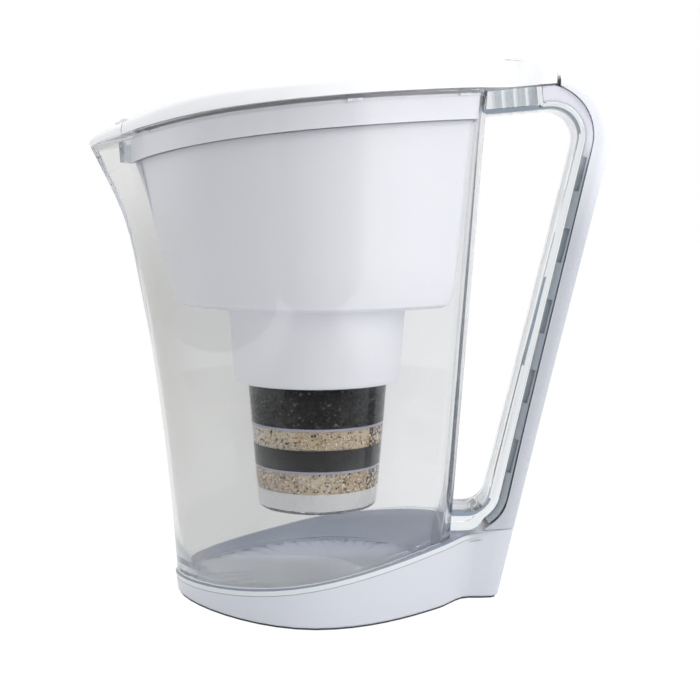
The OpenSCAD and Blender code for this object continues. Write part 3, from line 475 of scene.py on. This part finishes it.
black_grains = grit("carbon_grains", BLACKS, 0.55, sparkle=0.06, dust=0.04)
tan_grains = grit("mineral_grains", TANS, 0.7)


def from_bmesh(name, bm, material):
    mesh = bpy.data.meshes.new(name)
    bm.to_mesh(mesh)
    bm.free()
    piece = bpy.data.objects.new(name, mesh)
    bpy.context.scene.collection.objects.link(piece)
    mesh.materials.append(material)
    return piece


def smooth_copy(node, name, material, body, levels=0):
    """A merged copy of a solid's mesh, shaded smooth but for its real edges, that stands for it."""
    bm = bmesh.new()
    bm.from_mesh(nodes[node].data)
    bmesh.ops.remove_doubles(bm, verts=bm.verts, dist=MERGE_GAP)
    bmesh.ops.dissolve_degenerate(bm, edges=bm.edges, dist=SLIVER)
    bmesh.ops.join_triangles(
        bm, faces=bm.faces, angle_face_threshold=FLAT_ANGLE, angle_shape_threshold=SQUARE_ANGLE
    )
    crease = bm.edges.layers.float.new("crease_edge")
    for edge in bm.edges:
        hard = len(edge.link_faces) != 2 or edge.calc_face_angle(0) > SHARP_ANGLE
        edge.smooth = not hard
        if hard:
            edge[crease] = 1.0
    for face in bm.faces:
        face.smooth = True
    piece = from_bmesh(name, bm, material)
    if levels:
        subsurf = piece.modifiers.new("rounding", "SUBSURF")
        subsurf.levels = subsurf.render_levels = levels
    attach(piece, body)
    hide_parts(node)
    return piece


smooth_copy("jug_body", "jug_shell", jug_clear, "jug", levels=1)
loop = smooth_copy("handle_frame", "handle_loop", frame_clear, "jug", levels=1)
smooth_copy("handle_spine", "handle_strip", spine_grey, "jug")
smooth_copy("handle_cover", "handle_back", cover_white, "jug", levels=1)
smooth_copy("base_shell", "base_shoe", base_grey, "jug")
cup = smooth_copy("cartridge_cup", "filter_cup", cup_clear, "cartridge")
smooth_copy("hopper", "hopper_tank", hopper_white, "hopper")
smooth_copy("hopper_rim", "hopper_band", band_white, "hopper")
smooth_copy("lid_cover", "lid_dome", lid_white, "lid")
smooth_copy("lid_rib", "lid_collar", lid_white, "lid")
smooth_copy("fill_flap", "filling_flap", lid_white, "fill_flap")
smooth_copy("spout_flap", "pouring_flap", lid_white, "spout_flap")


def mark_inner(piece, node, flat, limit):
    """Marks the faces that look at the middle of their solid's box, along all axes but the flat one."""
    low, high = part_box(node)
    middle = (low + high) / 2
    facing = piece.data.attributes.new("inner", "FLOAT", "FACE")
    for face, mark in zip(piece.data.polygons, facing.data):
        out = face.center - middle
        out[flat] = 0
        mark.value = 1.0 if face.normal.dot(out.normalized()) < limit else 0.0


mark_inner(cup, "cartridge_cup", 2, -0.3)
mark_inner(loop, "handle_frame", 1, -0.15)

for node, material in {
    "spout_guard": guard_clear,
    "base_plate": base_grey,
    "non_slip_ring": ring_dark,
    "cartridge_cup": cup_clear,
    "cartridge_cap": cap_white,
    "cartridge_seal": seal_grey,
    "top_pad": pad_felt,
    "filter_pad": pad_felt,
    "separator_upper": disc_felt,
    "separator_lower": disc_felt,
    "media_fine_carbon": fine_band,
    "fill_flap_pin": pin_steel,
    "spout_flap_pin": pin_steel,
    "media_carbon": black_grains,
    "media_mineral_upper": tan_grains,
    "media_mineral_lower": tan_grains,
    "jug_body": jug_clear,
    "handle_frame": frame_clear,
    "handle_spine": spine_grey,
    "handle_cover": cover_white,
    "base_shell": base_grey,
    "hopper": hopper_white,
    "hopper_rim": band_white,
    "filter_well": hopper_white,
    "lid_cover": lid_white,
    "lid_rib": lid_white,
    "fill_flap": lid_white,
    "spout_flap": lid_white,
}.items():
    mesh = nodes[node].data
    mesh.materials.clear()
    mesh.materials.append(material)


def grain_mesh():
    bm = bmesh.new()
    bmesh.ops.create_icosphere(bm, subdivisions=1, radius=1.0)
    mesh = bpy.data.meshes.new("grain")
    bm.to_mesh(mesh)
    bm.free()
    return mesh


def grains(node, name, material, size, seed, gap_shade_tone):
    """A layer of grains against the cup's wall, round a core a little smaller than the solid, whose
    dark tone is painted shade in the gaps between the grains.
    """
    dice = random.Random(seed)
    low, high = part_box(node)
    middle = (low + high) / 2
    co = [v.co for v in nodes[node].data.vertices]

    def widest(ring):
        return max(math.hypot(c.x - middle.x, c.y - middle.y) for c in ring)

    top_r = widest([c for c in co if c.z > high.z - LEVEL_SLACK])
    low_r = widest([c for c in co if c.z < low.z + LEVEL_SLACK])
    bm = bmesh.new()
    core = low_r - size * 0.9
    bmesh.ops.create_cone(
        bm, cap_ends=True, segments=64, radius1=core, radius2=core + top_r - low_r,
        depth=high.z - low.z, matrix=Matrix.Translation(middle),
    )
    # The core's dark tone is painted shade between the grains
    tones = [gap_shade_tone] * len(bm.faces)
    grain = grain_mesh()
    area = 2 * math.pi * (low_r + top_r) / 2 * (high.z - low.z)
    count = int(area * GRAIN_COVER / (math.pi * (size / 2) ** 2) * GRAIN_LAYERS)
    for _ in range(count):
        width = size * dice.uniform(0.6, 1.25)
        half = [width / 2 * dice.uniform(0.6, 1.0) for _ in range(3)]
        reach = max(half)
        z = dice.uniform(low.z + reach * 0.7, high.z - reach * 0.7)
        wall = low_r + (top_r - low_r) * (z - low.z) / (high.z - low.z)
        turn = dice.uniform(0, 2 * math.pi)
        r = wall - reach + (0.12 - dice.uniform(0.0, 0.5)) * size
        place = Vector((middle.x + r * math.cos(turn), middle.y + r * math.sin(turn), z))
        angle = dice.uniform(0, GRAIN_SPIN)
        axis = Vector([dice.gauss(0, 1) for _ in range(3)]).normalized()
        one = grain.copy()
        one.transform(
            Matrix.Translation(place) @ Matrix.Rotation(angle, 4, axis) @ Matrix.Diagonal((*half, 1))
        )
        bm.from_mesh(one)
        bpy.data.meshes.remove(one)
        tones += [dice.random()] * len(grain.polygons)
    piece = from_bmesh(name, bm, material)
    layer = piece.data.attributes.new("tone", "FLOAT", "FACE")
    layer.data.foreach_set("value", tones)
    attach(piece, "cartridge")
    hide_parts(node)


grains("media_carbon", "carbon_granules", black_grains, 1.9 * MM, 3, 0.02)
grains("media_mineral_upper", "grit_upper", tan_grains, 1.45 * MM, 5, 0.99)
grains("media_mineral_lower", "grit_lower", tan_grains, 1.45 * MM, 7, 0.99)


def floor():
    """A pale floor that is seen white, but keeps the object's shadow."""
    f = Finish("floor_white")
    lit = f.shader(Base_Color=(0.9, 0.9, 0.9), Roughness=0.9)
    straight, through, mirrored = f.rays("Is Camera Ray", "Is Transmission Ray", "Is Glossy Ray")
    seen = straight.most(through).most(mirrored)
    bm = bmesh.new()
    bmesh.ops.create_grid(bm, x_segments=1, y_segments=1, size=FLOOR_HALF)
    piece = from_bmesh("floor", bm, f.done(f.mixed(seen * 0.9, lit, f.glow(FLOOR_GLOW))))


# Each card: its name, its glow, the half width and the height at which it has faded, its corners
CARDS = (
    (
        "flag_floor", 0.1, 0.7, 0.0,
        ((-0.7, -0.15, 0.004), (0.7, -0.15, 0.004), (0.7, -1.5, 0.004), (-0.7, -1.5, 0.004)),
    ),
    (
        "flag_front", 0.1, 1.5, 1.6,
        ((-1.5, -1.5, 0.004), (1.5, -1.5, 0.004), (1.5, -1.5, 1.6), (-1.5, -1.5, 1.6)),
    ),
    (
        "flag_left", 0.3, 0.0, 0.6,
        ((-0.9, -1.2, 0.01), (-0.9, 0.35, 0.01), (-0.9, 0.35, 0.6), (-0.9, -1.2, 0.6)),
    ),
)


def cards():
    """Dark cards under, before and beside the object, seen only in its gloss and clear plastic."""
    for name, strength, reach, run, corners in CARDS:
        f = Finish(name)
        # Their borders fade to the white around them, so that no reflection has a hard edge
        inner = 1 - f.z.fade(0.5 * run, run) if run else 1 - f.y.fade(-0.4, -0.15)
        if reach:
            across = 1 - (f.x * f.x).fade((0.5 * reach) ** 2, reach ** 2)
        else:
            across = 1 - f.y.fade(-0.2, 0.35)
        bm = bmesh.new()
        bm.faces.new([bm.verts.new(at) for at in corners])
        surface = f.mixed(inner * across, f.glow(1.0), f.glow(strength))
        piece = from_bmesh(name, bm, f.done(surface))
        piece.visible_camera = piece.visible_diffuse = piece.visible_shadow = False


def world():
    """Soft light on the object, and plain white behind it, also in its gloss and clear plastic."""
    made = bpy.data.worlds.new("studio")
    bpy.context.scene.world = made
    made.use_nodes = True
    tree = made.node_tree
    tree.nodes.clear()
    skies = []
    for tint, strength in (((0.96, 0.98, 1.0, 1), 0.8), (WHITE, 1.0)):
        sky = tree.nodes.new("ShaderNodeBackground")
        sky.inputs["Color"].default_value = tint
        sky.inputs["Strength"].default_value = strength
        skies.append(sky.outputs[0])
    path = tree.nodes.new("ShaderNodeLightPath")
    seen = path.outputs["Is Camera Ray"]
    for kind in ("Is Glossy Ray", "Is Transmission Ray"):
        either = tree.nodes.new("ShaderNodeMath")
        either.operation = "MAXIMUM"
        tree.links.new(seen, either.inputs[0])
        tree.links.new(path.outputs[kind], either.inputs[1])
        seen = either.outputs[0]
    mix = tree.nodes.new("ShaderNodeMixShader")
    for index, source in enumerate((seen, *skies)):
        tree.links.new(source, mix.inputs[index])
    out = tree.nodes.new("ShaderNodeOutputWorld")
    tree.links.new(mix.outputs[0], out.inputs["Surface"])


def lamp(name, place, target, size, watts):
    light = bpy.data.lights.new(name, "AREA")
    light.shape = "RECTANGLE"
    light.size, light.size_y = size
    light.energy = watts
    piece = bpy.data.objects.new(name, light)
    bpy.context.scene.collection.objects.link(piece)
    piece.location = place
    piece.rotation_euler = (Vector(target) - Vector(place)).to_track_quat("-Z", "Y").to_euler()


floor()
cards()
world()
lamp("key_right", (1.15, -0.75, 0.8), (0, 0, 0.13), (0.8, 0.8), 7.5)
lamp("top_soft", (0.1, 0.1, 1.3), (0, 0, 0.2), (1.2, 1.2), 7)

camera = bpy.data.objects.new("camera", bpy.data.cameras.new("camera"))
bpy.context.scene.collection.objects.link(camera)
camera.data.sensor_width = 36
camera.data.lens = CAMERA_LENS
camera.location = CAMERA_PLACE
camera.rotation_euler = (math.radians(90 - CAMERA_DOWN), 0, 0)
bpy.context.scene.camera = camera
bpy.context.scene.view_settings.view_transform = "Standard"
